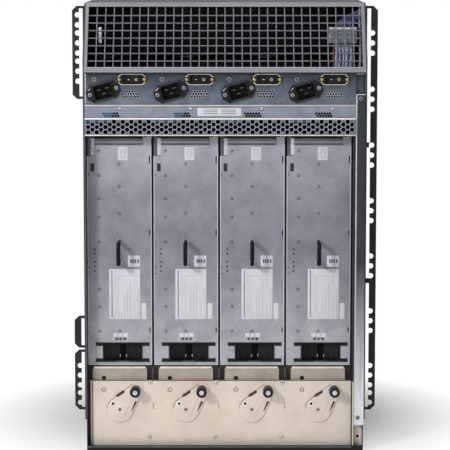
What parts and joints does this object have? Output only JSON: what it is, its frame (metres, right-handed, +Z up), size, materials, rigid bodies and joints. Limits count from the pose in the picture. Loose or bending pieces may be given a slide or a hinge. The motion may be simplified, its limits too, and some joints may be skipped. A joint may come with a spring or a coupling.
{
  "type": "rack chassis ethernet router",
  "caption": "Tall rack-mount network router chassis seen from its rear: sloped exhaust mesh, tilted power inlets, slide-out power supplies and lock levers.",
  "frame": {"origin": "middle of the base, on the surface that the chassis stands on", "axes": "+Z up, -Y out of the pictured rear face, +X to the right as seen from the rear"},
  "size_m": [0.4826, 0.584, 0.705],
  "materials": {
    "shell_steel": "zinc-plated sheet steel",
    "hood_paint": "satin grey powder coat",
    "skin_paint": "dark powder coat",
    "bay_steel": "plated sheet steel",
    "board": "circuit board",
    "cover_paint": "satin grey powder coat",
    "mesh_wire": "welded wire",
    "zinc_sheet": "zinc-plated sheet steel",
    "gold_plate": "yellow-passivated sheet steel",
    "channel_metal": "brushed",
    "bracket_paint": "black powder coat",
    "blade_brass": "plated blades",
    "bezel_plate": "black painted frame with pale rims",
    "grey_plastic": "moulded",
    "wire_cover": "insulated wire",
    "tray_steel": "satin grey powder coat",
    "black_plastic": "moulded",
    "module_steel": "zinc-plated sheet steel",
    "handle_paint": "black enamel"
  },
  "bodies": {
    "chassis": {"chassis_wrap": "shell_steel", "roof_panel": "hood_paint", "side_panel_left": "skin_paint", "side_panel_right": "skin_paint", "power_bay": "bay_steel", "midplane": "board", "inner_shelves": "bay_steel", "slot_covers": "cover_paint", "intake_grille": "cover_paint", "plenum_cover": "cover_paint", "exhaust_hood": "hood_paint", "exhaust_mesh": "mesh_wire", "inlet_panel": "zinc_sheet", "strip_panel": "zinc_sheet", "honeycomb_panel": "zinc_sheet", "lower_panel": "gold_plate", "lock_guide": "bay_steel", "side_channel": "channel_metal", "corner_strip": "zinc_sheet", "rack_bracket_left": "bracket_paint", "rack_bracket_right": "bracket_paint", "inlet_pins": "blade_brass", "switch_bezels": "bezel_plate", "harness_connector": "grey_plastic", "wire_harness": "wire_cover", "inlet_1": "black_plastic", "inlet_2": "black_plastic", "inlet_3": "black_plastic", "inlet_4": "black_plastic"},
    "rocker_body_1": {"rocker_1": "black_plastic"},
    "supply_1": {"ps_case_1": "module_steel", "ps_handle_1": "handle_paint", "ps_grip_1": "black_plastic"},
    "lever_body_1": {"lever_1": "gold_plate"},
    "pin_body_1": {"lock_pin_1": "black_plastic"},
    "plate_body_1": {"lock_plate_1": "gold_plate"},
    "rocker_body_2": {"rocker_2": "black_plastic"},
    "supply_2": {"ps_case_2": "module_steel", "ps_handle_2": "handle_paint", "ps_grip_2": "black_plastic"},
    "lever_body_2": {"lever_2": "gold_plate"},
    "pin_body_2": {"lock_pin_2": "black_plastic"},
    "plate_body_2": {"lock_plate_2": "gold_plate"},
    "rocker_body_3": {"rocker_3": "black_plastic"},
    "supply_3": {"ps_case_3": "module_steel", "ps_handle_3": "handle_paint", "ps_grip_3": "black_plastic"},
    "lever_body_3": {"lever_3": "gold_plate"},
    "pin_body_3": {"lock_pin_3": "black_plastic"},
    "plate_body_3": {"lock_plate_3": "gold_plate"},
    "rocker_body_4": {"rocker_4": "black_plastic"},
    "supply_4": {"ps_case_4": "module_steel", "ps_handle_4": "handle_paint", "ps_grip_4": "black_plastic"},
    "lever_body_4": {"lever_4": "gold_plate"},
    "pin_body_4": {"lock_pin_4": "black_plastic"},
    "plate_body_4": {"lock_plate_4": "gold_plate"},
    "upper_tray": {"upper_fan_tray": "tray_steel"},
    "lower_tray": {"lower_fan_tray": "tray_steel"}
  },
  "joints": [
    {"name": "rocker_1_tilt", "type": "hinge", "parent": "chassis", "child": "rocker_body_1", "pos_m": [-0.1442, -0.279, 0.5885], "axis": [0, 0, 1], "range_deg": [-12, 0]},
    {"name": "supply_1_slide", "type": "slide", "parent": "chassis", "child": "supply_1", "axis": [0, -1, 0], "range_m": [0, 0.235]},
    {"name": "lever_1_turn", "type": "hinge", "parent": "chassis", "child": "lever_body_1", "pos_m": [-0.1666, -0.263, 0.065], "axis": [0, -1, 0], "range_deg": [0, 77]},
    {"name": "pin_1_pull", "type": "slide", "parent": "lever_body_1", "child": "pin_body_1", "axis": [0, -1, 0], "range_m": [0, 0.006], "stiffness_N_per_m": 600, "springref_m": -0.004},
    {"name": "plate_1_drop", "type": "slide", "parent": "chassis", "child": "plate_body_1", "axis": [0, 0, -1], "range_m": [0, 0.017]},
    {"name": "rocker_2_tilt", "type": "hinge", "parent": "chassis", "child": "rocker_body_2", "pos_m": [-0.0396, -0.279, 0.5885], "axis": [0, 0, 1], "range_deg": [-12, 0]},
    {"name": "supply_2_slide", "type": "slide", "parent": "chassis", "child": "supply_2", "axis": [0, -1, 0], "range_m": [0, 0.235]},
    {"name": "lever_2_turn", "type": "hinge", "parent": "chassis", "child": "lever_body_2", "pos_m": [-0.062, -0.263, 0.065], "axis": [0, -1, 0], "range_deg": [0, 77]},
    {"name": "pin_2_pull", "type": "slide", "parent": "lever_body_2", "child": "pin_body_2", "axis": [0, -1, 0], "range_m": [0, 0.006], "stiffness_N_per_m": 600, "springref_m": -0.004},
    {"name": "plate_2_drop", "type": "slide", "parent": "chassis", "child": "plate_body_2", "axis": [0, 0, -1], "range_m": [0, 0.017]},
    {"name": "rocker_3_tilt", "type": "hinge", "parent": "chassis", "child": "rocker_body_3", "pos_m": [0.065, -0.279, 0.5885], "axis": [0, 0, 1], "range_deg": [-12, 0]},
    {"name": "supply_3_slide", "type": "slide", "parent": "chassis", "child": "supply_3", "axis": [0, -1, 0], "range_m": [0, 0.235]},
    {"name": "lever_3_turn", "type": "hinge", "parent": "chassis", "child": "lever_body_3", "pos_m": [0.0426, -0.263, 0.065], "axis": [0, -1, 0], "range_deg": [0, 77]},
    {"name": "pin_3_pull", "type": "slide", "parent": "lever_body_3", "child": "pin_body_3", "axis": [0, -1, 0], "range_m": [0, 0.006], "stiffness_N_per_m": 600, "springref_m": -0.004},
    {"name": "plate_3_drop", "type": "slide", "parent": "chassis", "child": "plate_body_3", "axis": [0, 0, -1], "range_m": [0, 0.017]},
    {"name": "rocker_4_tilt", "type": "hinge", "parent": "chassis", "child": "rocker_body_4", "pos_m": [0.1696, -0.279, 0.5885], "axis": [0, 0, 1], "range_deg": [-12, 0]},
    {"name": "supply_4_slide", "type": "slide", "parent": "chassis", "child": "supply_4", "axis": [0, -1, 0], "range_m": [0, 0.235]},
    {"name": "lever_4_turn", "type": "hinge", "parent": "chassis", "child": "lever_body_4", "pos_m": [0.1472, -0.263, 0.065], "axis": [0, -1, 0], "range_deg": [0, 77]},
    {"name": "pin_4_pull", "type": "slide", "parent": "lever_body_4", "child": "pin_body_4", "axis": [0, -1, 0], "range_m": [0, 0.006], "stiffness_N_per_m": 600, "springref_m": -0.004},
    {"name": "plate_4_drop", "type": "slide", "parent": "chassis", "child": "plate_body_4", "axis": [0, 0, -1], "range_m": [0, 0.017]},
    {"name": "upper_tray_slide", "type": "slide", "parent": "chassis", "child": "upper_tray", "axis": [0, 1, 0], "range_m": [0, 0.25]},
    {"name": "lower_tray_slide", "type": "slide", "parent": "chassis", "child": "lower_tray", "axis": [0, 1, 0], "range_m": [0, 0.25]}
  ],
  "couplings": [
    {"joint": "lever_1_turn", "follows": "plate_1_drop", "rad_per_m": 79.05},
    {"joint": "lever_2_turn", "follows": "plate_2_drop", "rad_per_m": 79.05},
    {"joint": "lever_3_turn", "follows": "plate_3_drop", "rad_per_m": 79.05},
    {"joint": "lever_4_turn", "follows": "plate_4_drop", "rad_per_m": 79.05}
  ]
}
